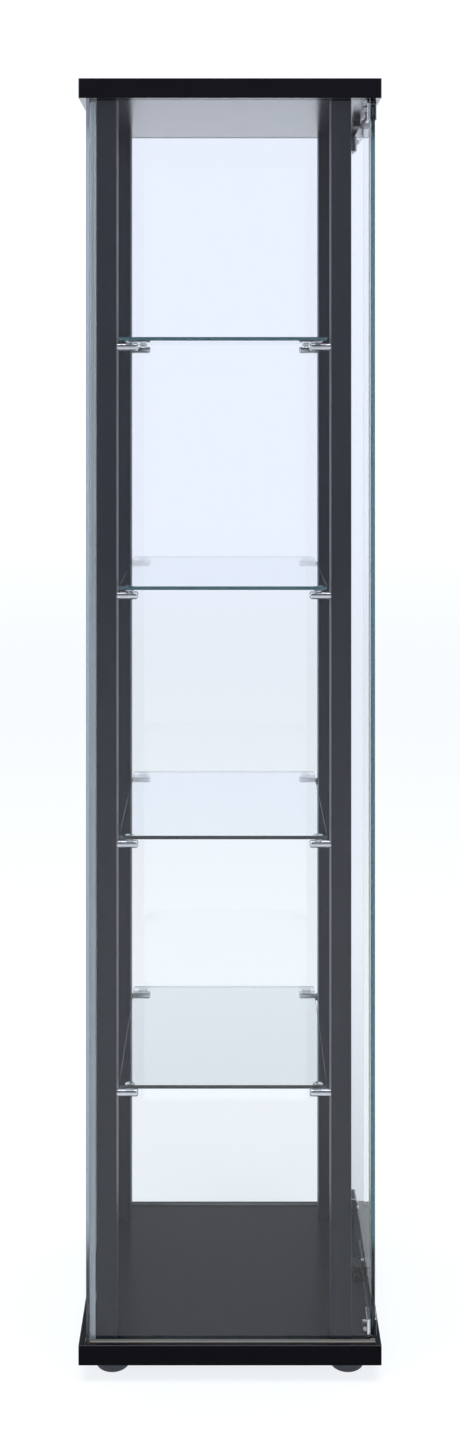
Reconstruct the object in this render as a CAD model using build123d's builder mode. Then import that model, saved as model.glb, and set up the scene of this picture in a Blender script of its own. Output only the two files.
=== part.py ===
"""Tall glass display showcase on four feet, with fixed glass panes and one glass side door.

Millimetres. X points right, Y points to the back, Z points up. The origin is on the floor,
under the middle of the boards. The door is the right-hand pane: it turns on two pivot clamps
near its back edge, and two magnetic catches hold it shut.
"""
import os
from build123d import *

# ---------------------------------------------------------------- boards and feet
BOARD_WIDTH = 420.0
BOARD_DEPTH = 362.0
BOARD_THICKNESS = 27.5
BOARD_CORNER_RADIUS = 1.5
BOARD_EDGE_RADIUS = 0.8
CLEAR_HEIGHT = 1727.0
FOOT_HEIGHT = 24.0
FOOT_RADIUS = 25.0
FOOT_INSET = 45.0
FOOT_RECESS_RADIUS = 8.0
FOOT_RECESS_DEPTH = 9.0
FOOT_SCREW_RADIUS = 2.25
FOOT_SCREW_IN_BOARD = 18.0
SCREW_TIP_GAP = 1.0
FOOT_SCREW_HEAD_RADIUS = 5.5
FOOT_SCREW_HEAD = 3.5
FOOT_TAPER = 1.0
FOOT_EDGE_RADIUS = 2.0

BOTTOM_BOARD_BASE = FOOT_HEIGHT
FLOOR_Z = BOTTOM_BOARD_BASE + BOARD_THICKNESS
CEILING_Z = FLOOR_Z + CLEAR_HEIGHT
TOP_Z = CEILING_Z + BOARD_THICKNESS
HALF_WIDTH = BOARD_WIDTH / 2
HALF_DEPTH = BOARD_DEPTH / 2
MID_HEIGHT = Plane.XY.offset((FLOOR_Z + CEILING_Z) / 2)

# ---------------------------------------------------------------- glass panes
GLASS_THICKNESS = 5.0
GLASS_ARRIS = 0.5
PANE_INSET = 8.0
LEFT_PANE_INSET = 10.0
PANE_CORNER_GAP = 1.0
FRONT_PANE_RIGHT = 195.0
BACK_PANE_RIGHT = 177.0
FRONT_CHANNEL_RIGHT = 202.0
FRONT_PANE_Y = -HALF_DEPTH + PANE_INSET + GLASS_THICKNESS / 2
BACK_PANE_Y = HALF_DEPTH - PANE_INSET - GLASS_THICKNESS / 2
LEFT_PANE_X = -HALF_WIDTH + LEFT_PANE_INSET + GLASS_THICKNESS / 2
PANE_LEFT_END = LEFT_PANE_X + GLASS_THICKNESS / 2 + PANE_CORNER_GAP
PANE_RUN = BOARD_DEPTH - 2 * PANE_INSET

# Soft channels that the fixed panes stand in, and the grooves in the boards
CHANNEL_WALL = 0.8
CHANNEL_BASE = 1.0
CHANNEL_STAND_OUT = 1.5
BOTTOM_GROOVE_DEPTH = 8.0
TOP_GROOVE_DEPTH = 11.0
PANE_TOP_ENTRY = 8.0
GROOVE_SIDE_GAP = 0.1
TOP_GROOVE_SIDE_GAP = 0.3
CHANNEL_WIDTH = GLASS_THICKNESS + 2 * CHANNEL_WALL
PANE_BASE = FLOOR_Z - BOTTOM_GROOVE_DEPTH + CHANNEL_BASE
PANE_HEIGHT = CEILING_Z + PANE_TOP_ENTRY - PANE_BASE

# ---------------------------------------------------------------- posts
POST_WIDTH = 28.0
POST_DEPTH = 40.0
POST_EDGE_RADIUS = 1.5
LEFT_POST_INNER_X = -158.0
RIGHT_POST_INNER_X = 141.0
POST_FRONT_INSET = 14.0
POST_Y = HALF_DEPTH - POST_FRONT_INSET - POST_DEPTH / 2
POST_X = {
    "left": LEFT_POST_INNER_X - POST_WIDTH / 2,
    "right": RIGHT_POST_INNER_X + POST_WIDTH / 2,
}
ENDS = {"front": -1, "back": 1}

# Angle that closes the gap between the left pane and the front left post
PROFILE_REACH_X = 8.0
PROFILE_REACH_Y = 15.0
PROFILE_WALL = 1.5
PROFILE_BEAD_RADIUS = 1.1
PROFILE_GROOVE = 0.7
PROFILE_GROOVE_FROM_BEAD = 2.4
PROFILE_PANE_GAP = 0.05
PROFILE_FOOT_GAP = 2.0
PROFILE_HEAD_GAP = 4.0

# One long screw and one wooden dowel join each end of each post to its board
POST_SCREW_RADIUS = 2.75
POST_SCREW_LENGTH = 55.0
POST_SCREW_HEAD_RADIUS = 6.0
POST_SCREW_HEAD_HEIGHT = 4.0
SCREW_FIT = 0.05
COUNTERBORE_RADIUS = 7.0
COUNTERBORE_DEPTH = 7.5
CAP_THICKNESS = 2.5
CAP_EDGE_RADIUS = 0.5
CAP_FIT = 0.05
DOWEL_RADIUS = 4.0
DOWEL_LENGTH = 30.0
DOWEL_IN_BOARD = 12.0
DOWEL_FIT = 0.05
DOWEL_OFFSET = 12.5
DOWEL_CHAMFER = 0.8
SCREW_SLOT = 1.2

# ---------------------------------------------------------------- shelves and their pins
SHELF_COUNT = 4
FIRST_SHELF_Z = 406.0
SHELF_PITCH = 347.3
SHELF_LEFT_GAP = 3.0
SHELF_RIGHT_GAP = 5.5
SHELF_PANE_GAP = 1.5
SHELF_CORNER_RADIUS = 2.0
SHELF_TOPS = [FIRST_SHELF_Z + i * SHELF_PITCH for i in range(SHELF_COUNT)]
SHELF_FRONT_Y = FRONT_PANE_Y + GLASS_THICKNESS / 2 + SHELF_PANE_GAP
SHELF_BACK_Y = BACK_PANE_Y - GLASS_THICKNESS / 2 - SHELF_PANE_GAP

PIN_RADIUS = 5.5
PIN_LENGTH = 30.0
PIN_TIP_RADIUS = 3.0
PIN_STUD_RADIUS = 3.0
PIN_STUD_LENGTH = 12.0
PIN_BORE_DEPTH = 13.0
PIN_INSET = 23.0
PIN_Y = HALF_DEPTH - PIN_INSET
PAD_RADIUS = 7.0
PAD_NECK_RADIUS = 3.4
PAD_HEIGHT = 2.9
PAD_RIM = 0.7
PAD_HOLLOW = 0.8
PAD_WAIST_RADIUS = 5.4
PAD_WAIST_RISE = 1.1
PAD_STEM_RADIUS = 1.9
PAD_STEM_LENGTH = 3.0
PAD_FROM_TIP = 12.0
SHELF_REST_GAP = 0.2
PIN_DROP = GLASS_THICKNESS + SHELF_REST_GAP + PAD_HEIGHT + PIN_RADIUS

# ---------------------------------------------------------------- door and its hardware
DOOR_X = 199.0
CLAMP_LENGTH = 30.0
CLAMP_OUTER_WALL = 2.4
CLAMP_INNER_WALL = 5.0
CLAMP_BASE = 3.0
CLAMP_HEIGHT = 24.0
CLAMP_EDGE_RADIUS = 1.0
LINER_THICKNESS = 0.7
LINER_MARGIN = 0.6
BUSHING_FLANGE = 3.5
BUSHING_FLANGE_RADIUS = 6.5
BUSHING_RADIUS = 5.0
BUSHING_DEPTH = 9.0
BUSHING_EDGE_RADIUS = 0.5
PIVOT_RADIUS = 3.0
PIVOT_LENGTH = 8.0
PIVOT_EDGE_RADIUS = 0.5
PIVOT_FIT = 0.05
PIVOT_END_GAP = 0.5
THRUST_GAP = 0.3
CLAMP_UNDERSIDE = FLOOR_Z + BUSHING_FLANGE + THRUST_GAP
DOOR_BASE = CLAMP_UNDERSIDE + CLAMP_BASE + LINER_THICKNESS
DOOR_HEIGHT = FLOOR_Z + CEILING_Z - 2 * DOOR_BASE
FRONT_CLAMP_GAP = 1.5
HINGE_CLAMP_INSET = 31.0
HINGE_CLAMP_Y = HALF_DEPTH - HINGE_CLAMP_INSET
FRONT_CLAMP_Y = FRONT_PANE_Y + GLASS_THICKNESS / 2 + FRONT_CLAMP_GAP + CLAMP_LENGTH / 2
CLAMP_OUTER_X = DOOR_X + GLASS_THICKNESS / 2 + LINER_THICKNESS + CLAMP_OUTER_WALL
CLAMP_INNER_X = DOOR_X - GLASS_THICKNESS / 2 - LINER_THICKNESS - CLAMP_INNER_WALL

CLAMP_SCREW_RADIUS = 1.95
CLAMP_SCREW_HEAD_RADIUS = 2.9
CLAMP_SCREW_HEAD = 4.5
CLAMP_SCREW_EDGE_RADIUS = 0.7
CLAMP_SCREW_SPACING = 16.0
CLAMP_SCREW_LEVEL = 7.0
CLAMP_SCREW_SLOT = 1.0

GLIDE_PEG_RADIUS = 3.0
GLIDE_PEG_LENGTH = 9.0
GLIDE_EDGE_RADIUS = 0.9

# Magnetic catches on the boards, and the strike plates clipped over the door's edges
CATCH_Y = -7.0
CATCH_LENGTH = 44.0
CATCH_HOUSING_LENGTH = 25.0
CATCH_WIDTH = 10.0
CATCH_HEIGHT = 13.0
CATCH_LUG_HEIGHT = 3.5
CATCH_LUG_RADIUS = 2.5
CATCH_EDGE_RADIUS = 1.0
CATCH_SCREW_SPACING = 35.0
CATCH_SCREW_RADIUS = 1.75
CATCH_SCREW_HEAD_RADIUS = 3.2
CATCH_SCREW_HEAD = 1.8
CATCH_SCREW_EDGE_RADIUS = 0.6
CATCH_SCREW_DEPTH = 14.0
CATCH_FACE_GAP = 0.3
MAGNET_LENGTH = 20.0
MAGNET_THICKNESS = 4.0
MAGNET_DEPTH = 6.0
POLE_THICKNESS = 1.5
POLE_STAND_OUT = 0.5
MAGNET_LEVEL = 7.5
STRIKE_LENGTH = 48.0
STRIKE_HEIGHT = 25.0
STRIKE_WALL = 1.5
STRIKE_CORNER_RADIUS = 3.0
STRIKE_INNER_X = DOOR_X - GLASS_THICKNESS / 2 - STRIKE_WALL
CATCH_FACE_X = STRIKE_INNER_X - CATCH_FACE_GAP - POLE_STAND_OUT
CATCH_X = CATCH_FACE_X - CATCH_WIDTH / 2

CENTRE_MIN = (Align.CENTER, Align.CENTER, Align.MIN)
CENTRE_MAX = (Align.CENTER, Align.CENTER, Align.MAX)


def save(builder, name):
    """Label a finished piece and write it as one STEP file."""
    builder.part.label = name
    export_step(builder.part, f"parts/{name}.step")


def facing(x, y, z, direction):
    """A place at (x, y, z) whose outward direction is the one given."""
    return Plane(origin=(x, y, z), z_dir=direction)


def post_points():
    return [(x, end * POST_Y) for x in POST_X.values() for end in ENDS.values()]


def dowel_points():
    return [(x, end * (POST_Y + DOWEL_OFFSET)) for x in POST_X.values() for end in ENDS.values()]


def foot_points():
    reach_x = HALF_WIDTH - FOOT_INSET
    reach_y = HALF_DEPTH - FOOT_INSET
    return [(side * reach_x, end * reach_y) for side in (-1, 1) for end in (-1, 1)]


def fixed_pane_places():
    """Centre and footprint of each fixed pane: x, y, width, depth."""
    front_run = FRONT_PANE_RIGHT - PANE_LEFT_END
    back_run = BACK_PANE_RIGHT - PANE_LEFT_END
    return {
        "front_glass": (PANE_LEFT_END + front_run / 2, FRONT_PANE_Y, front_run, GLASS_THICKNESS),
        "back_glass": (PANE_LEFT_END + back_run / 2, BACK_PANE_Y, back_run, GLASS_THICKNESS),
        "left_glass": (LEFT_PANE_X, 0, GLASS_THICKNESS, PANE_RUN),
    }


def channel_places():
    """Like the panes, but the front channel runs on to the door's outer face."""
    places = fixed_pane_places()
    run = FRONT_CHANNEL_RIGHT - PANE_LEFT_END
    places["front_glass"] = (PANE_LEFT_END + run / 2, FRONT_PANE_Y, run, GLASS_THICKNESS)
    return places


def catch_screw_ys():
    return (CATCH_Y - CATCH_SCREW_SPACING / 2, CATCH_Y + CATCH_SCREW_SPACING / 2)


# ---------------------------------------------------------------- boards
def build_board(base_z, inner_z, outer_z, inward, groove_gap, groove_depth):
    """A board with everything that the two boards share. The inward direction is into the case."""
    into_case = (0, 0, inward)
    out_of_case = (0, 0, -inward)
    with BuildPart() as board:
        with BuildSketch(Plane.XY.offset(base_z)):
            RectangleRounded(BOARD_WIDTH, BOARD_DEPTH, BOARD_CORNER_RADIUS)
        extrude(amount=BOARD_THICKNESS)
        fillet(board.faces().filter_by(Axis.Z).edges(), BOARD_EDGE_RADIUS)
        with BuildSketch(Plane.XY.offset(inner_z)):
            for x, y, width, depth in channel_places().values():
                with Locations((x, y)):
                    Rectangle(width + 2 * groove_gap, depth + 2 * groove_gap)
        extrude(amount=-inward * groove_depth, mode=Mode.SUBTRACT)
        with Locations(*[facing(x, y, inner_z, into_case) for x, y in dowel_points()]):
            Hole(DOWEL_RADIUS + DOWEL_FIT, DOWEL_IN_BOARD + DOWEL_FIT)
        with Locations(facing(DOOR_X, HINGE_CLAMP_Y, inner_z, into_case)):
            Hole(BUSHING_RADIUS + SCREW_FIT, BUSHING_DEPTH + SCREW_FIT)
        with Locations(facing(DOOR_X, FRONT_CLAMP_Y, inner_z, into_case)):
            Hole(GLIDE_PEG_RADIUS + SCREW_FIT, GLIDE_PEG_LENGTH + SCREW_FIT)
        with Locations(*[facing(CATCH_X, y, inner_z, into_case) for y in catch_screw_ys()]):
            Hole(CATCH_SCREW_RADIUS + SCREW_FIT, CATCH_SCREW_DEPTH)
        with Locations(*[facing(x, y, outer_z, out_of_case) for x, y in post_points()]):
            CounterBoreHole(POST_SCREW_RADIUS + SCREW_FIT, COUNTERBORE_RADIUS, COUNTERBORE_DEPTH)
    return board.part


def make_bottom_board():
    channel_gap = CHANNEL_WALL + GROOVE_SIDE_GAP
    blank = build_board(BOTTOM_BOARD_BASE, FLOOR_Z, BOTTOM_BOARD_BASE, 1, channel_gap, BOTTOM_GROOVE_DEPTH)
    with BuildPart() as bottom_board:
        add(blank)
        with Locations(*[facing(x, y, BOTTOM_BOARD_BASE, (0, 0, -1)) for x, y in foot_points()]):
            Hole(FOOT_SCREW_RADIUS + SCREW_FIT, FOOT_SCREW_IN_BOARD + SCREW_TIP_GAP)
    save(bottom_board, "bottom_board")


def make_top_board():
    blank = build_board(CEILING_Z, CEILING_Z, TOP_Z, -1, TOP_GROOVE_SIDE_GAP, TOP_GROOVE_DEPTH)
    with BuildPart() as top_board:
        add(blank)
    save(top_board, "top_board")


# ---------------------------------------------------------------- feet
def make_foot(name, x, y):
    with BuildPart() as foot:
        with BuildSketch(Plane.XY):
            with Locations((x, y)):
                Circle(FOOT_RADIUS - FOOT_TAPER)
        with BuildSketch(Plane.XY.offset(FOOT_HEIGHT)):
            with Locations((x, y)):
                Circle(FOOT_RADIUS)
        loft()
        fillet(foot.edges().group_by(Axis.Z)[0], FOOT_EDGE_RADIUS)
        with Locations(facing(x, y, 0, (0, 0, -1))):
            CounterBoreHole(FOOT_SCREW_RADIUS + SCREW_FIT, FOOT_RECESS_RADIUS, FOOT_RECESS_DEPTH)
    save(foot, name)


def make_feet():
    names = ("front_left_foot", "back_left_foot", "front_right_foot", "back_right_foot")
    for name, (x, y) in zip(names, foot_points()):
        make_foot(name, x, y)


def make_screws(name, points, head_seat, direction, sizes):
    """Slotted screws whose heads rest on one level and whose shanks run along the direction."""
    shank_length, shank_radius, head_radius, head_height = sizes
    head_top = head_seat - direction * head_height
    with BuildPart() as screws:
        out = (0, 0, -direction)
        with Locations(*[facing(x, y, head_seat, out) for x, y in points]):
            Cylinder(shank_radius, shank_length, align=CENTRE_MAX)
            Cylinder(head_radius, head_height, align=CENTRE_MIN)
        with Locations(*[facing(x, y, head_top, out) for x, y in points]):
            Box(2 * head_radius, SCREW_SLOT, SCREW_SLOT, align=CENTRE_MAX, mode=Mode.SUBTRACT)
    save(screws, name)


def make_board_screws():
    sizes = (POST_SCREW_LENGTH, POST_SCREW_RADIUS, POST_SCREW_HEAD_RADIUS, POST_SCREW_HEAD_HEIGHT)
    make_screws("bottom_post_screws", post_points(), BOTTOM_BOARD_BASE + COUNTERBORE_DEPTH, 1, sizes)
    make_screws("top_post_screws", post_points(), TOP_Z - COUNTERBORE_DEPTH, -1, sizes)
    foot_shank = FOOT_HEIGHT - FOOT_RECESS_DEPTH + FOOT_SCREW_IN_BOARD
    foot_sizes = (foot_shank, FOOT_SCREW_RADIUS, FOOT_SCREW_HEAD_RADIUS, FOOT_SCREW_HEAD)
    make_screws("foot_screws", foot_points(), FOOT_RECESS_DEPTH, 1, foot_sizes)


def make_screw_caps():
    with BuildPart() as top_screw_caps:
        with Locations(*[(x, y, TOP_Z) for x, y in post_points()]):
            Cylinder(COUNTERBORE_RADIUS - CAP_FIT, CAP_THICKNESS, align=CENTRE_MAX)
        fillet(top_screw_caps.edges().group_by(Axis.Z)[-1], CAP_EDGE_RADIUS)
    save(top_screw_caps, "top_screw_caps")


def make_post_dowels():
    with BuildPart() as post_dowels:
        with Locations(*[(x, y, FLOOR_Z - DOWEL_IN_BOARD) for x, y in dowel_points()]):
            Cylinder(DOWEL_RADIUS, DOWEL_LENGTH, align=CENTRE_MIN)
        chamfer(post_dowels.edges().filter_by(GeomType.CIRCLE), DOWEL_CHAMFER)
        mirror(about=MID_HEIGHT)
    save(post_dowels, "post_dowels")


# ---------------------------------------------------------------- posts
def make_post(name, side, end):
    x = POST_X[side]
    y = ENDS[end] * POST_Y
    inward = 1 if side == "left" else -1
    inner_x = x + inward * POST_WIDTH / 2
    dowel_y = y + ENDS[end] * DOWEL_OFFSET
    with BuildPart() as post:
        with BuildSketch(Plane.XY.offset(FLOOR_Z)):
            with Locations((x, y)):
                RectangleRounded(POST_WIDTH, POST_DEPTH, POST_EDGE_RADIUS)
        extrude(amount=CLEAR_HEIGHT)
        screw_hole = POST_SCREW_LENGTH - BOARD_THICKNESS + COUNTERBORE_DEPTH + SCREW_TIP_GAP
        for z, outward in ((FLOOR_Z, -1), (CEILING_Z, 1)):
            with Locations(facing(x, y, z, (0, 0, outward))):
                Hole(POST_SCREW_RADIUS + SCREW_FIT, screw_hole)
            with Locations(facing(x, dowel_y, z, (0, 0, outward))):
                Hole(DOWEL_RADIUS + DOWEL_FIT, DOWEL_LENGTH - DOWEL_IN_BOARD + DOWEL_FIT)
        pin_y = ENDS[end] * PIN_Y
        pin_levels = [top - PIN_DROP for top in SHELF_TOPS]
        with Locations(*[facing(inner_x, pin_y, z, (inward, 0, 0)) for z in pin_levels]):
            Hole(PIN_STUD_RADIUS + SCREW_FIT, PIN_BORE_DEPTH)
    save(post, name)


def make_posts():
    for side in POST_X:
        for end in ENDS:
            make_post(f"{end}_{side}_post", side, end)


# ---------------------------------------------------------------- fixed panes and channels
def make_pane(name, centre_x, centre_y, width, depth):
    with BuildPart() as pane:
        with BuildSketch(Plane.XY.offset(PANE_BASE)):
            with Locations((centre_x, centre_y)):
                Rectangle(width, depth)
        extrude(amount=PANE_HEIGHT)
        chamfer(pane.edges(), GLASS_ARRIS)
    save(pane, name)


def make_channel(name, centre_x, centre_y, width, depth):
    along_x = width > depth
    outer_width = width if along_x else CHANNEL_WIDTH
    outer_depth = CHANNEL_WIDTH if along_x else depth
    with BuildPart() as channel:
        with BuildSketch(Plane.XY.offset(FLOOR_Z - BOTTOM_GROOVE_DEPTH)):
            with Locations((centre_x, centre_y)):
                Rectangle(outer_width, outer_depth)
        extrude(amount=BOTTOM_GROOVE_DEPTH + CHANNEL_STAND_OUT)
        with BuildSketch(Plane.XY.offset(PANE_BASE)):
            with Locations((centre_x, centre_y)):
                Rectangle(width, depth)
        extrude(amount=BOTTOM_GROOVE_DEPTH + CHANNEL_STAND_OUT, mode=Mode.SUBTRACT)
    save(channel, name)


def make_corner_profile():
    """An angle behind the front pane: one leg on the left pane, the other ending in a round bead."""
    corner_x = PANE_LEFT_END - PANE_CORNER_GAP + PROFILE_PANE_GAP
    front_y = FRONT_PANE_Y + GLASS_THICKNESS / 2 + PROFILE_PANE_GAP
    bead_x = corner_x + PROFILE_REACH_X - PROFILE_BEAD_RADIUS
    base = FLOOR_Z + PROFILE_FOOT_GAP
    with BuildPart() as corner_profile:
        with BuildSketch(Plane.XY.offset(base)):
            with Locations((corner_x, front_y)):
                Rectangle(bead_x - corner_x, PROFILE_WALL, align=(Align.MIN, Align.MIN))
                Rectangle(PROFILE_WALL, PROFILE_REACH_Y, align=(Align.MIN, Align.MIN))
            with Locations((bead_x, front_y + PROFILE_BEAD_RADIUS)):
                Circle(PROFILE_BEAD_RADIUS)
            with Locations((bead_x - PROFILE_GROOVE_FROM_BEAD, front_y)):
                Rectangle(PROFILE_GROOVE, PROFILE_GROOVE, mode=Mode.SUBTRACT)
        extrude(amount=CLEAR_HEIGHT - PROFILE_FOOT_GAP - PROFILE_HEAD_GAP)
    save(corner_profile, "left_corner_profile")


def make_fixed_panes():
    for name, place in fixed_pane_places().items():
        make_pane(name, *place)
    for name, place in channel_places().items():
        make_channel(f"{name}_channel", *place)


# ---------------------------------------------------------------- shelves
def shelf_pin_places(top):
    """The four pins of a shelf: where each leaves its post, and the way it points."""
    sides = ((LEFT_POST_INNER_X, 1), (RIGHT_POST_INNER_X, -1))
    return [(x, end * PIN_Y, top - PIN_DROP, inward) for x, inward in sides for end in ENDS.values()]


def make_shelf(number, top):
    left = LEFT_POST_INNER_X + SHELF_LEFT_GAP
    right = RIGHT_POST_INNER_X - SHELF_RIGHT_GAP
    with BuildPart() as shelf:
        with BuildSketch(Plane.XY.offset(top - GLASS_THICKNESS)):
            with Locations(((left + right) / 2, (SHELF_FRONT_Y + SHELF_BACK_Y) / 2)):
                RectangleRounded(right - left, SHELF_BACK_Y - SHELF_FRONT_Y, SHELF_CORNER_RADIUS)
        extrude(amount=GLASS_THICKNESS)
        chamfer(shelf.faces().filter_by(Axis.Z).edges(), GLASS_ARRIS)
    save(shelf, f"glass_shelf_{number}")


def make_shelf_pins(number, top):
    places = shelf_pin_places(top)
    with BuildPart() as pins:
        with Locations(*[facing(x, y, z, (inward, 0, 0)) for x, y, z, inward in places]):
            Cylinder(PIN_RADIUS, PIN_LENGTH, align=CENTRE_MIN)
        tips = [x + inward * PIN_LENGTH for x, y, z, inward in places]
        rims = pins.edges().filter_by(GeomType.CIRCLE)
        tip_rims = rims.filter_by(lambda e: any(abs(e.center().X - tip) < PIN_TIP_RADIUS for tip in tips))
        fillet(tip_rims, PIN_TIP_RADIUS)
        with Locations(*[facing(x, y, z, (inward, 0, 0)) for x, y, z, inward in places]):
            Cylinder(PIN_STUD_RADIUS, PIN_STUD_LENGTH, align=CENTRE_MAX)
        pad_reach = PIN_LENGTH - PAD_FROM_TIP
        with Locations(*[(x + inward * pad_reach, y, z + PIN_RADIUS) for x, y, z, inward in places]):
            Hole(PAD_STEM_RADIUS + SCREW_FIT, PAD_STEM_LENGTH + SCREW_FIT)
    save(pins, f"shelf_pins_{number}")


def make_shelf_pads(number, top):
    """Clear cups with a bell shape: the rim carries the shelf and the stem sits in the pin."""
    pad_reach = PIN_LENGTH - PAD_FROM_TIP
    with BuildPart() as pads:
        for x, y, z, inward in shelf_pin_places(top):
            axis_x = x + inward * pad_reach
            seat = z + PIN_RADIUS
            rim_z = seat + PAD_HEIGHT
            with BuildSketch(Plane.XZ.offset(-y)):
                with BuildLine():
                    Polyline(
                        (axis_x, rim_z - PAD_HOLLOW),
                        (axis_x, seat - PAD_STEM_LENGTH),
                        (axis_x + PAD_STEM_RADIUS, seat - PAD_STEM_LENGTH),
                        (axis_x + PAD_STEM_RADIUS, seat),
                        (axis_x + PAD_NECK_RADIUS, seat),
                    )
                    ThreePointArc(
                        (axis_x + PAD_NECK_RADIUS, seat),
                        (axis_x + PAD_WAIST_RADIUS, seat + PAD_WAIST_RISE),
                        (axis_x + PAD_RADIUS, rim_z - PAD_RIM),
                    )
                    Polyline(
                        (axis_x + PAD_RADIUS, rim_z - PAD_RIM),
                        (axis_x + PAD_RADIUS, rim_z),
                        (axis_x + PAD_RADIUS - PAD_RIM, rim_z),
                    )
                    TangentArc(
                        (axis_x, rim_z - PAD_HOLLOW),
                        (axis_x + PAD_RADIUS - PAD_RIM, rim_z),
                        tangent=(1, 0),
                    )
                make_face()
            revolve(axis=Axis((axis_x, y, 0), (0, 0, 1)))
    save(pads, f"shelf_pads_{number}")


def make_shelves():
    for number, top in enumerate(SHELF_TOPS, start=1):
        make_shelf(number, top)
        make_shelf_pins(number, top)
        make_shelf_pads(number, top)


# ---------------------------------------------------------------- door
def make_door_glass():
    with BuildPart() as door_glass:
        with BuildSketch(Plane.XY.offset(DOOR_BASE)):
            with Locations((DOOR_X, 0)):
                Rectangle(GLASS_THICKNESS, PANE_RUN)
        extrude(amount=DOOR_HEIGHT)
        chamfer(door_glass.edges(), GLASS_ARRIS)
    save(door_glass, "door_glass")


def clamp_screw_places(clamp_y):
    level = CLAMP_UNDERSIDE + CLAMP_SCREW_LEVEL
    half = CLAMP_SCREW_SPACING / 2
    return [facing(CLAMP_INNER_X, clamp_y + offset, level, (-1, 0, 0)) for offset in (-half, half)]


def build_clamp(clamp_y, with_pivot):
    """The lower clamp: a U over the glass, with a pivot pin below it where it is a hinge."""
    slot_width = GLASS_THICKNESS + 2 * LINER_THICKNESS
    middle = CLAMP_UNDERSIDE + CLAMP_HEIGHT / 2
    with BuildPart() as clamp:
        with BuildSketch(Plane.XZ.offset(-clamp_y)):
            with Locations(((CLAMP_INNER_X + CLAMP_OUTER_X) / 2, middle)):
                Rectangle(CLAMP_OUTER_X - CLAMP_INNER_X, CLAMP_HEIGHT)
        extrude(amount=CLAMP_LENGTH / 2, both=True)
        fillet(clamp.edges(), CLAMP_EDGE_RADIUS)
        with BuildSketch(Plane.XZ.offset(-clamp_y)):
            with Locations((DOOR_X, middle + CLAMP_BASE)):
                Rectangle(slot_width, CLAMP_HEIGHT)
        extrude(amount=CLAMP_LENGTH / 2, both=True, mode=Mode.SUBTRACT)
        with Locations(*clamp_screw_places(clamp_y)):
            Hole(CLAMP_SCREW_RADIUS + SCREW_FIT, CLAMP_INNER_WALL + SCREW_FIT)
        if with_pivot:
            with Locations((DOOR_X, clamp_y, CLAMP_UNDERSIDE)):
                Cylinder(PIVOT_RADIUS, PIVOT_LENGTH, align=CENTRE_MAX)
            fillet(clamp.edges().group_by(Axis.Z)[0], PIVOT_EDGE_RADIUS)
    return clamp.part


def save_pair(part, bottom_name, top_name):
    """Saves a piece of the lower hardware, and its mirror image at the top of the door."""
    with BuildPart() as bottom:
        add(part)
    save(bottom, bottom_name)
    with BuildPart() as top:
        mirror(part, about=MID_HEIGHT)
    save(top, top_name)


def make_clamps():
    save_pair(build_clamp(HINGE_CLAMP_Y, True), "bottom_hinge_clamp", "top_hinge_clamp")
    save_pair(build_clamp(FRONT_CLAMP_Y, False), "bottom_front_clamp", "top_front_clamp")


def make_clamp_liners():
    """Soft liners between each clamp and the glass."""
    length = CLAMP_LENGTH - 2 * LINER_MARGIN
    height = CLAMP_HEIGHT - CLAMP_BASE - LINER_MARGIN
    base = CLAMP_UNDERSIDE + CLAMP_BASE
    with BuildPart() as door_clamp_liners:
        for clamp_y in (HINGE_CLAMP_Y, FRONT_CLAMP_Y):
            with BuildSketch(Plane.XZ.offset(-clamp_y)):
                with Locations((DOOR_X, base + height / 2)):
                    Rectangle(GLASS_THICKNESS + 2 * LINER_THICKNESS, height)
                with Locations((DOOR_X, base + height / 2 + LINER_THICKNESS)):
                    Rectangle(GLASS_THICKNESS, height, mode=Mode.SUBTRACT)
            extrude(amount=length / 2, both=True)
        mirror(about=MID_HEIGHT)
    save(door_clamp_liners, "door_clamp_liners")


def make_clamp_screws():
    with BuildPart() as door_clamp_screws:
        with Locations(*(clamp_screw_places(HINGE_CLAMP_Y) + clamp_screw_places(FRONT_CLAMP_Y))):
            Cylinder(CLAMP_SCREW_RADIUS, CLAMP_INNER_WALL, align=CENTRE_MAX)
            Cylinder(CLAMP_SCREW_HEAD_RADIUS, CLAMP_SCREW_HEAD, align=CENTRE_MIN)
        outer_rims = door_clamp_screws.edges().filter_by(GeomType.CIRCLE).group_by(Axis.X)[0]
        fillet(outer_rims, CLAMP_SCREW_EDGE_RADIUS)
        head_x = CLAMP_INNER_X - CLAMP_SCREW_HEAD
        for place in clamp_screw_places(HINGE_CLAMP_Y) + clamp_screw_places(FRONT_CLAMP_Y):
            with Locations((head_x, place.origin.Y, place.origin.Z)):
                Box(
                    CLAMP_SCREW_SLOT,
                    2 * CLAMP_SCREW_HEAD_RADIUS,
                    CLAMP_SCREW_SLOT,
                    align=(Align.MIN, Align.CENTER, Align.CENTER),
                    mode=Mode.SUBTRACT,
                )
        mirror(about=MID_HEIGHT)
    save(door_clamp_screws, "door_clamp_screws")


def make_bushings():
    """Flanged bushings pressed into the boards: the door's pivots turn in them."""
    with BuildPart() as bushing:
        with Locations((DOOR_X, HINGE_CLAMP_Y, FLOOR_Z)):
            Cylinder(BUSHING_RADIUS, BUSHING_DEPTH, align=CENTRE_MAX)
            Cylinder(BUSHING_FLANGE_RADIUS, BUSHING_FLANGE, align=CENTRE_MIN)
        fillet(bushing.edges().group_by(Axis.Z)[-1], BUSHING_EDGE_RADIUS)
        with Locations((DOOR_X, HINGE_CLAMP_Y, FLOOR_Z + BUSHING_FLANGE)):
            Hole(PIVOT_RADIUS + PIVOT_FIT, PIVOT_LENGTH - THRUST_GAP + PIVOT_END_GAP)
    save_pair(bushing.part, "bottom_hinge_bushing", "top_hinge_bushing")


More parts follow.
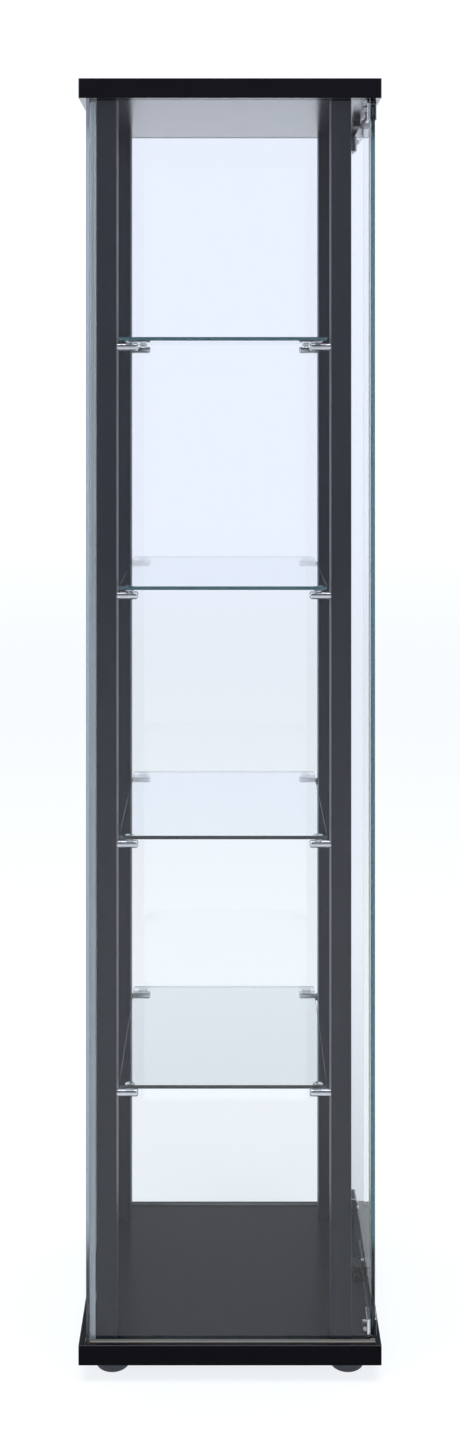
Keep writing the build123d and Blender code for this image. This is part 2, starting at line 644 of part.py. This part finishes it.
def make_glides():
    """Buttons under and over the front clamps, which carry the door's free edge."""
    with BuildPart() as glide:
        with Locations((DOOR_X, FRONT_CLAMP_Y, FLOOR_Z)):
            Cylinder(GLIDE_PEG_RADIUS, GLIDE_PEG_LENGTH, align=CENTRE_MAX)
            Cylinder(BUSHING_FLANGE_RADIUS, BUSHING_FLANGE, align=CENTRE_MIN)
        fillet(glide.edges().group_by(Axis.Z)[-1], GLIDE_EDGE_RADIUS)
    save_pair(glide.part, "bottom_door_glide", "top_door_glide")


# ---------------------------------------------------------------- catches and strike plates
def make_catches():
    pocket_height = MAGNET_THICKNESS + 2 * POLE_THICKNESS
    with BuildPart() as catch:
        with Locations((CATCH_X, CATCH_Y, FLOOR_Z)):
            Box(CATCH_WIDTH, CATCH_LENGTH, CATCH_LUG_HEIGHT, align=CENTRE_MIN)
        fillet(catch.edges().filter_by(Axis.Z), CATCH_LUG_RADIUS)
        with Locations((CATCH_X, CATCH_Y, FLOOR_Z)):
            Box(CATCH_WIDTH, CATCH_HOUSING_LENGTH, CATCH_HEIGHT, align=CENTRE_MIN)
        fillet(catch.edges().group_by(Axis.Z)[-1], CATCH_EDGE_RADIUS)
        with Locations((CATCH_FACE_X, CATCH_Y, FLOOR_Z + MAGNET_LEVEL)):
            Box(
                MAGNET_DEPTH,
                MAGNET_LENGTH,
                pocket_height,
                align=(Align.MAX, Align.CENTER, Align.CENTER),
                mode=Mode.SUBTRACT,
            )
        with Locations(*[(CATCH_X, y, FLOOR_Z + CATCH_LUG_HEIGHT) for y in catch_screw_ys()]):
            Hole(CATCH_SCREW_RADIUS + SCREW_FIT, CATCH_LUG_HEIGHT)
    save_pair(catch.part, "bottom_catch_body", "top_catch_body")


def make_catch_magnets():
    with BuildPart() as catch_magnets:
        with Locations((CATCH_FACE_X, CATCH_Y, FLOOR_Z + MAGNET_LEVEL)):
            Box(
                MAGNET_DEPTH,
                MAGNET_LENGTH,
                MAGNET_THICKNESS,
                align=(Align.MAX, Align.CENTER, Align.CENTER),
            )
        mirror(about=MID_HEIGHT)
    save(catch_magnets, "catch_magnets")


def make_catch_poles():
    """Steel plates on both sides of each magnet, standing a little out of the housing."""
    reach = (MAGNET_THICKNESS + POLE_THICKNESS) / 2
    with BuildPart() as catch_pole_plates:
        for level in (MAGNET_LEVEL - reach, MAGNET_LEVEL + reach):
            with Locations((CATCH_FACE_X + POLE_STAND_OUT, CATCH_Y, FLOOR_Z + level)):
                Box(
                    MAGNET_DEPTH + POLE_STAND_OUT,
                    MAGNET_LENGTH,
                    POLE_THICKNESS,
                    align=(Align.MAX, Align.CENTER, Align.CENTER),
                )
        mirror(about=MID_HEIGHT)
    save(catch_pole_plates, "catch_pole_plates")


def make_catch_screws():
    shank = CATCH_LUG_HEIGHT + CATCH_SCREW_DEPTH - SCREW_TIP_GAP
    with BuildPart() as catch_screws:
        with Locations(*[(CATCH_X, y, FLOOR_Z + CATCH_LUG_HEIGHT) for y in catch_screw_ys()]):
            Cylinder(CATCH_SCREW_RADIUS, shank, align=CENTRE_MAX)
            Cylinder(CATCH_SCREW_HEAD_RADIUS, CATCH_SCREW_HEAD, align=CENTRE_MIN)
        fillet(catch_screws.edges().group_by(Axis.Z)[-1], CATCH_SCREW_EDGE_RADIUS)
        mirror(about=MID_HEIGHT)
    save(catch_screws, "catch_screws")


def make_strike_plates():
    """Steel clips over the door's lower and upper edges, opposite the catches."""
    outer_width = GLASS_THICKNESS + 2 * STRIKE_WALL
    base = DOOR_BASE - STRIKE_WALL
    with BuildPart() as strike:
        with BuildSketch(Plane.XZ.offset(-CATCH_Y)) as profile:
            with Locations((DOOR_X, base + STRIKE_HEIGHT / 2)):
                Rectangle(outer_width, STRIKE_HEIGHT)
            fillet(profile.vertices().group_by(Axis.Y)[0], STRIKE_WALL)
            with Locations((DOOR_X, base + STRIKE_HEIGHT / 2 + STRIKE_WALL)):
                Rectangle(GLASS_THICKNESS, STRIKE_HEIGHT, mode=Mode.SUBTRACT)
        extrude(amount=STRIKE_LENGTH / 2, both=True)
        fillet(strike.edges().filter_by(Axis.X).group_by(Axis.Z)[-1], STRIKE_CORNER_RADIUS)
    save_pair(strike.part, "bottom_strike_plate", "top_strike_plate")


def make_showcase():
    os.makedirs("parts", exist_ok=True)
    make_bottom_board()
    make_top_board()
    make_feet()
    make_board_screws()
    make_screw_caps()
    make_post_dowels()
    make_posts()
    make_fixed_panes()
    make_corner_profile()
    make_shelves()
    make_door_glass()
    make_clamps()
    make_clamp_liners()
    make_clamp_screws()
    make_bushings()
    make_glides()
    make_catches()
    make_catch_magnets()
    make_catch_poles()
    make_catch_screws()
    make_strike_plates()


make_showcase()
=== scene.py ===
"""Looks of the glass display showcase: materials, lights, stage and camera.

Metres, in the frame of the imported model: X right, Y to the back, Z up, origin on the floor.
"""
import math

import bpy
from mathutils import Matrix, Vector


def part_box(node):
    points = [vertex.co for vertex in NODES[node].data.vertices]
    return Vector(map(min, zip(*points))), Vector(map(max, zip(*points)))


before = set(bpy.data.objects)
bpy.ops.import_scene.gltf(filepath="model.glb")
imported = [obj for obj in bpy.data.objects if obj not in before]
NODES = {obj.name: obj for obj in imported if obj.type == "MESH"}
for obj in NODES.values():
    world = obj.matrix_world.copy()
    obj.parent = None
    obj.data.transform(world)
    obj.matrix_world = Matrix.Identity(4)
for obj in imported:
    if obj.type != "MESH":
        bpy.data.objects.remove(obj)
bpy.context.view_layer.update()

SCENE = bpy.context.scene

# ---------------------------------------------------------------- camera and stage
CAMERA_DISTANCE = 2.058      # in front of the boards' front faces
CAMERA_HEIGHT = 1.401
LENS_MM = 36.87
SENSOR_MM = 36.0
SHIFT_Y = -0.2447            # the camera is level: the frame is shifted down instead of tilted
FLOOR_REACH = 60.0
WALL_COLOR = (1.0, 1.035, 1.14)
WALL_FRONT = 0.45

FLOOR_PAINT = (0.22, 0.224, 0.232)
FLOOR_GLOW = (0.95, 0.98, 1.0)
FLOOR_GLOW_STRENGTH = 0.85
FLOOR_FADE = (1.5, 9.0)      # how far out the floor turns into the wall
OVERHEAD_WATTS = 190
LEFT_WATTS = 30
RIGHT_WATTS = 18
LIGHT_TARGET = (0.0, 0.0, 0.9)
GLASS_IOR = 1.5
EDGE_ROUGHNESS = 0.22
LEFT_EDGE_ROUGHNESS = 0.4
LONG_PATHS = 24              # light passes through many panes in a row
GLOSSY_PATHS = 8


def make_camera():
    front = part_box("top_board")[0][1]
    data = bpy.data.cameras.new("camera")
    data.lens = LENS_MM
    data.sensor_width = SENSOR_MM
    data.shift_y = SHIFT_Y
    camera = bpy.data.objects.new("camera", data)
    camera.location = (0.0, front - CAMERA_DISTANCE, CAMERA_HEIGHT)
    camera.rotation_euler = (math.radians(90), 0.0, 0.0)
    SCENE.collection.objects.link(camera)
    SCENE.camera = camera


def ramp(nt, source, low, high, stops):
    """A grey level over a range of the source: stops are (value of the source, level)."""
    span = nt.nodes.new("ShaderNodeMapRange")
    span.inputs["From Min"].default_value = low
    span.inputs["From Max"].default_value = high
    nt.links.new(source, span.inputs["Value"])
    curve = nt.nodes.new("ShaderNodeValToRGB")
    elements = curve.color_ramp.elements
    while len(elements) < len(stops):
        elements.new(0.5)
    for element, (value, level) in zip(elements, stops):
        element.position = (value - low) / (high - low)
        element.color = (level, level, level, 1)
    nt.links.new(span.outputs[0], curve.inputs[0])
    return curve.outputs["Color"]


def calculate(nt, operation, first, second):
    node = nt.nodes.new("ShaderNodeMath")
    node.operation = operation
    for socket, value in zip(node.inputs, (first, second)):
        if isinstance(value, (int, float)):
            socket.default_value = value
        else:
            nt.links.new(value, socket)
    return node.outputs[0]


def unit_direction(nt, source):
    """The parts of a vector's direction, as three sockets."""
    unit = nt.nodes.new("ShaderNodeVectorMath")
    unit.operation = "NORMALIZE"
    nt.links.new(source, unit.inputs[0])
    parts = nt.nodes.new("ShaderNodeSeparateXYZ")
    nt.links.new(unit.outputs[0], parts.inputs[0])
    return parts.outputs


def wall_level(nt, y_part):
    """How bright the studio's wall is around the compass: white behind, grey in front."""
    return ramp(nt, y_part, -1.0, 1.0, ((-1.0, WALL_FRONT), (-0.4, 0.6), (0.2, 1.0), (1.0, 1.0)))


def make_floor():
    """A pale floor that meets the studio's wall without a line."""
    mesh = bpy.data.meshes.new("floor")
    corners = [(x * FLOOR_REACH, y * FLOOR_REACH, 0.0) for x, y in ((-1, -1), (1, -1), (1, 1), (-1, 1))]
    mesh.from_pydata(corners, [], [(0, 1, 2, 3)])
    floor = bpy.data.objects.new("floor", mesh)
    SCENE.collection.objects.link(floor)
    mat, nt, shader = principled("floor_paint")
    shader.inputs["Base Color"].default_value = (*FLOOR_PAINT, 1)
    shader.inputs["Roughness"].default_value = 0.9
    shader.inputs["Specular IOR Level"].default_value = 0.1
    shader.inputs["Emission Color"].default_value = (*FLOOR_GLOW, 1)
    shader.inputs["Emission Strength"].default_value = FLOOR_GLOW_STRENGTH
    place = object_coords(nt)
    distance = nt.nodes.new("ShaderNodeVectorMath")
    distance.operation = "LENGTH"
    nt.links.new(place, distance.inputs[0])
    far = nt.nodes.new("ShaderNodeEmission")
    far.inputs["Color"].default_value = (*WALL_COLOR, 1)
    nt.links.new(wall_level(nt, unit_direction(nt, place)["Y"]), far.inputs["Strength"])
    mix = nt.nodes.new("ShaderNodeMixShader")
    nt.links.new(remap(nt, distance.outputs["Value"], 0.0, 1.0, *FLOOR_FADE), mix.inputs[0])
    nt.links.new(shader.outputs[0], mix.inputs[1])
    nt.links.new(far.outputs[0], mix.inputs[2])
    out = next(n for n in nt.nodes if n.type == "OUTPUT_MATERIAL")
    nt.links.new(mix.outputs[0], out.inputs["Surface"])
    floor.data.materials.append(mat)
    floor.visible_glossy = False


def make_world():
    """The studio: a white wall behind, grey in front, that fades out overhead.

    Glossy surfaces see a darker front than the camera does.
    """
    world = bpy.data.worlds.new("studio")
    SCENE.world = world
    world.use_nodes = True
    nt = world.node_tree
    nt.nodes.clear()
    out = nt.nodes.new("ShaderNodeOutputWorld")
    background = nt.nodes.new("ShaderNodeBackground")
    background.inputs["Color"].default_value = (*WALL_COLOR, 1)
    parts = unit_direction(nt, nt.nodes.new("ShaderNodeTexCoord").outputs["Generated"])
    above = ramp(nt, parts["Z"], -1.0, 1.0, ((0.0, 1.0), (0.3, 1.0), (0.45, 0.14), (1.0, 0.14)))
    seen = calculate(nt, "MULTIPLY", above, wall_level(nt, parts["Y"]))
    bands = ((-1.0, 0.2), (-0.65, 0.2), (-0.35, 0.9), (0.3, 1.0), (0.45, 0.1), (1.0, 0.1))
    around = ramp(nt, parts["Y"], -1.0, 1.0, ((-1.0, 0.08), (-0.3, 0.16), (0.3, 1.0), (1.0, 1.0)))
    mirrored = calculate(nt, "MULTIPLY", ramp(nt, parts["Z"], -1.0, 1.0, bands), around)
    path = nt.nodes.new("ShaderNodeLightPath")
    direct = calculate(nt, "MAXIMUM", path.outputs["Is Camera Ray"], path.outputs["Is Transmission Ray"])
    pick = nt.nodes.new("ShaderNodeMix")
    nt.links.new(direct, pick.inputs["Factor"])
    nt.links.new(mirrored, pick.inputs["A"])
    nt.links.new(seen, pick.inputs["B"])
    nt.links.new(pick.outputs["Result"], background.inputs["Strength"])
    nt.links.new(background.outputs[0], out.inputs["Surface"])


def make_softbox(name, place, target, size, power):
    data = bpy.data.lights.new(name, "AREA")
    data.shape = "RECTANGLE"
    data.size, data.size_y = size
    data.energy = power
    light = bpy.data.objects.new(name, data)
    light.location = place
    light.rotation_euler = (Vector(target) - Vector(place)).to_track_quat("-Z", "Y").to_euler()
    SCENE.collection.objects.link(light)


def make_lights():
    make_softbox("overhead", (0.0, -0.3, 4.2), (0.0, -0.3, 0.0), (4.0, 3.0), OVERHEAD_WATTS)
    make_softbox("left_softbox", (-2.6, -1.6, 2.2), LIGHT_TARGET, (1.2, 2.2), LEFT_WATTS)
    make_softbox("right_softbox", (2.2, -2.4, 1.9), LIGHT_TARGET, (0.9, 1.8), RIGHT_WATTS)


# ---------------------------------------------------------------- material helpers
def principled(name):
    mat = bpy.data.materials.new(name)
    mat.use_nodes = True
    nt = mat.node_tree
    shader = next(n for n in nt.nodes if n.type == "BSDF_PRINCIPLED")
    return mat, nt, shader


def dress(material, *names):
    for name in names:
        node = NODES[name]
        if not node.material_slots:
            node.data.materials.append(material)
        for slot in node.material_slots:
            slot.material = material


def object_coords(nt):
    return nt.nodes.new("ShaderNodeTexCoord").outputs["Object"]


def noise(nt, scale, detail=4.0, roughness=0.6, stretch=None):
    tex = nt.nodes.new("ShaderNodeTexNoise")
    tex.inputs["Scale"].default_value = scale
    tex.inputs["Detail"].default_value = detail
    tex.inputs["Roughness"].default_value = roughness
    coords = object_coords(nt)
    if stretch:
        mapping = nt.nodes.new("ShaderNodeMapping")
        mapping.inputs["Scale"].default_value = stretch
        nt.links.new(coords, mapping.inputs["Vector"])
        coords = mapping.outputs[0]
    nt.links.new(coords, tex.inputs["Vector"])
    return tex.outputs["Fac"]


def remap(nt, source, low, high, from_low=0.3, from_high=0.7):
    node = nt.nodes.new("ShaderNodeMapRange")
    node.inputs["From Min"].default_value = from_low
    node.inputs["From Max"].default_value = from_high
    node.inputs["To Min"].default_value = low
    node.inputs["To Max"].default_value = high
    nt.links.new(source, node.inputs["Value"])
    return node.outputs[0]


def blend_colors(nt, factor, first, second):
    node = nt.nodes.new("ShaderNodeMix")
    node.data_type = "RGBA"
    node.inputs["A"].default_value = (*first, 1)
    node.inputs["B"].default_value = (*second, 1)
    nt.links.new(factor, node.inputs["Factor"])
    return node.outputs["Result"]


def bump(nt, shader, height, strength, distance):
    node = nt.nodes.new("ShaderNodeBump")
    node.inputs["Strength"].default_value = strength
    node.inputs["Distance"].default_value = distance
    nt.links.new(height, node.inputs["Height"])
    nt.links.new(node.outputs[0], shader.inputs["Normal"])


# ---------------------------------------------------------------- materials
def laminate_material():
    """Satin black melamine: a clear wear layer over a dark print, with a faint pebble grain."""
    mat, nt, shader = principled("black_laminate")
    mottle = noise(nt, 35.0)
    color = blend_colors(nt, mottle, (0.003, 0.003, 0.006), (0.005, 0.005, 0.008))
    nt.links.new(color, shader.inputs["Base Color"])
    nt.links.new(remap(nt, noise(nt, 90.0), 0.22, 0.27), shader.inputs["Roughness"])
    shader.inputs["Specular IOR Level"].default_value = 0.25
    shader.inputs["Coat Weight"].default_value = 1.0
    shader.inputs["Coat Roughness"].default_value = 0.2
    shader.inputs["Coat IOR"].default_value = 1.4
    bump(nt, shader, noise(nt, 1400.0, detail=2.0), 0.1, 0.00004)
    return mat


def post_material():
    mat, nt, shader = principled("black_post_wrap")
    streaks = noise(nt, 60.0, stretch=(1.0, 1.0, 0.02))
    color = blend_colors(nt, streaks, (0.02, 0.022, 0.036), (0.028, 0.03, 0.046))
    nt.links.new(color, shader.inputs["Base Color"])
    nt.links.new(remap(nt, streaks, 0.42, 0.52), shader.inputs["Roughness"])
    shader.inputs["Specular IOR Level"].default_value = 0.3
    bump(nt, shader, noise(nt, 1200.0, detail=2.0), 0.1, 0.00004)
    return mat


def glass_material(name, absorb_color, absorb_density, flat_axis, edge=EDGE_ROUGHNESS):
    """Clear float glass. Lamps light what is behind it, and its body tints long paths green."""
    mat, nt, shader = principled(name)
    shader.inputs["Base Color"].default_value = (0.985, 0.988, 1.0, 1)
    shader.inputs["Transmission Weight"].default_value = 1.0
    shader.inputs["IOR"].default_value = GLASS_IOR
    face = nt.nodes.new("ShaderNodeVectorMath")
    face.operation = "DOT_PRODUCT"
    face.inputs[1].default_value = flat_axis
    nt.links.new(nt.nodes.new("ShaderNodeTexCoord").outputs["Normal"], face.inputs[0])
    size = nt.nodes.new("ShaderNodeMath")
    size.operation = "ABSOLUTE"
    nt.links.new(face.outputs["Value"], size.inputs[0])
    nt.links.new(remap(nt, size.outputs[0], edge, 0.0, 0.8, 0.95), shader.inputs["Roughness"])
    clear = nt.nodes.new("ShaderNodeBsdfTransparent")
    clear.inputs["Color"].default_value = (0.9, 0.94, 0.95, 1)
    path = nt.nodes.new("ShaderNodeLightPath")
    mix = nt.nodes.new("ShaderNodeMixShader")
    out = next(n for n in nt.nodes if n.type == "OUTPUT_MATERIAL")
    nt.links.new(path.outputs["Is Shadow Ray"], mix.inputs[0])
    nt.links.new(shader.outputs[0], mix.inputs[1])
    nt.links.new(clear.outputs[0], mix.inputs[2])
    nt.links.new(mix.outputs[0], out.inputs["Surface"])
    body = nt.nodes.new("ShaderNodeVolumeAbsorption")
    body.inputs["Color"].default_value = (*absorb_color, 1)
    body.inputs["Density"].default_value = absorb_density
    nt.links.new(body.outputs[0], out.inputs["Volume"])
    return mat


def chrome_material():
    mat, nt, shader = principled("polished_chrome")
    shader.inputs["Metallic"].default_value = 1.0
    cloud = noise(nt, 220.0)
    color = blend_colors(nt, cloud, (0.62, 0.63, 0.66), (0.72, 0.73, 0.76))
    nt.links.new(color, shader.inputs["Base Color"])
    nt.links.new(remap(nt, cloud, 0.07, 0.16), shader.inputs["Roughness"])
    bump(nt, shader, noise(nt, 900.0, detail=2.0), 0.05, 0.0001)
    return mat


def aluminium_material():
    """Satin anodised extrusion, with die lines along its length."""
    mat, nt, shader = principled("satin_aluminium")
    shader.inputs["Metallic"].default_value = 0.35
    lines = noise(nt, 900.0, stretch=(1.0, 1.0, 0.01))
    color = blend_colors(nt, lines, (0.66, 0.69, 0.76), (0.74, 0.77, 0.84))
    nt.links.new(color, shader.inputs["Base Color"])
    nt.links.new(remap(nt, lines, 0.35, 0.48), shader.inputs["Roughness"])
    bump(nt, shader, lines, 0.08, 0.00005)
    return mat


def zinc_material():
    mat, nt, shader = principled("zinc_plate")
    shader.inputs["Metallic"].default_value = 1.0
    cloud = noise(nt, 400.0)
    color = blend_colors(nt, cloud, (0.5, 0.51, 0.52), (0.66, 0.67, 0.68))
    nt.links.new(color, shader.inputs["Base Color"])
    nt.links.new(remap(nt, cloud, 0.22, 0.4), shader.inputs["Roughness"])
    bump(nt, shader, cloud, 0.1, 0.0001)
    return mat


def plastic_material(name, dark, light, rough_low, rough_high):
    mat, nt, shader = principled(name)
    nt.links.new(blend_colors(nt, noise(nt, 60.0), dark, light), shader.inputs["Base Color"])
    nt.links.new(remap(nt, noise(nt, 150.0), rough_low, rough_high), shader.inputs["Roughness"])
    bump(nt, shader, noise(nt, 1800.0, detail=2.0), 0.15, 0.0002)
    return mat


def clear_plastic_material():
    mat, nt, shader = principled("clear_soft_plastic")
    shader.inputs["Base Color"].default_value = (0.93, 0.96, 0.97, 1)
    shader.inputs["Transmission Weight"].default_value = 0.95
    shader.inputs["IOR"].default_value = 1.45
    nt.links.new(remap(nt, noise(nt, 300.0), 0.05, 0.14), shader.inputs["Roughness"])
    return mat


def wood_material():
    mat, nt, shader = principled("beech")
    grain = noise(nt, 120.0, stretch=(1.0, 1.0, 0.05))
    nt.links.new(blend_colors(nt, grain, (0.5, 0.34, 0.2), (0.7, 0.5, 0.32)), shader.inputs["Base Color"])
    nt.links.new(remap(nt, grain, 0.5, 0.7), shader.inputs["Roughness"])
    bump(nt, shader, grain, 0.2, 0.0002)
    return mat


def dress_everything():
    dress(laminate_material(), "bottom_board", "top_board")
    posts = [f"{end}_{side}_post" for end in ("front", "back") for side in ("left", "right")]
    dress(post_material(), *posts)
    feet = [name.replace("post", "foot") for name in posts]
    dress(plastic_material("grey_foot", (0.075, 0.08, 0.105), (0.1, 0.105, 0.135), 0.38, 0.5), *feet)
    tint = (0.25, 0.52, 0.56)
    dress(glass_material("clear_glass_y", tint, 7.0, (0, 1, 0)), "front_glass", "back_glass")
    left = glass_material("clear_glass_left", (0.5, 0.6, 0.7), 5.0, (1, 0, 0), LEFT_EDGE_ROUGHNESS)
    dress(left, "left_glass")
    dress(glass_material("clear_glass_door", tint, 9.0, (1, 0, 0)), "door_glass")
    shelf = glass_material("shelf_glass", tint, 13.0, (0, 0, 1))
    numbers = range(1, 5)
    dress(shelf, *[f"glass_shelf_{i}" for i in numbers])
    chrome = chrome_material()
    dress(chrome, *[f"shelf_pins_{i}" for i in numbers])
    levels = ("bottom", "top")
    bright_parts = ("hinge_clamp", "front_clamp", "strike_plate")
    dress(chrome, *[f"{v}_{part}" for v in levels for part in bright_parts])
    dress(clear_plastic_material(), *[f"shelf_pads_{i}" for i in numbers])
    black = plastic_material("black_nylon", (0.008, 0.008, 0.009), (0.016, 0.016, 0.018), 0.35, 0.5)
    dress(black, "top_screw_caps", "catch_screws")
    black_parts = ("hinge_bushing", "door_glide", "catch_body")
    dress(black, *[f"{v}_{part}" for v in levels for part in black_parts])
    rubber = plastic_material("black_rubber", (0.012, 0.012, 0.012), (0.02, 0.02, 0.02), 0.6, 0.75)
    dress(rubber, "door_clamp_liners")
    channel = plastic_material("grey_vinyl", (0.3, 0.31, 0.32), (0.38, 0.39, 0.4), 0.4, 0.5)
    dress(channel, "left_glass_channel", "back_glass_channel")
    # The front channel is the same vinyl as the side and back channels. Its paler, warmer colour is a
    # painted highlight for the lit line along the front glass's foot.
    front_channel_painted_highlight = plastic_material("vinyl_painted_highlight", (0.5, 0.47, 0.43), (0.6, 0.57, 0.53), 0.35, 0.45)
    dress(front_channel_painted_highlight, "front_glass_channel")
    dress(aluminium_material(), "left_corner_profile")
    zinc = zinc_material()
    dress(zinc, "bottom_post_screws", "top_post_screws", "foot_screws", "door_clamp_screws")
    dress(zinc, "catch_pole_plates")
    dress(plastic_material("ferrite", (0.03, 0.03, 0.032), (0.06, 0.06, 0.062), 0.5, 0.7), "catch_magnets")
    dress(wood_material(), "post_dowels")


SCENE.view_settings.view_transform = "Standard"
SCENE.cycles.max_bounces = LONG_PATHS
SCENE.cycles.transmission_bounces = LONG_PATHS
SCENE.cycles.glossy_bounces = GLOSSY_PATHS
SCENE.cycles.transparent_max_bounces = LONG_PATHS
SCENE.cycles.caustics_reflective = False
SCENE.cycles.caustics_refractive = False
make_camera()
make_floor()
make_world()
make_lights()
dress_everything()
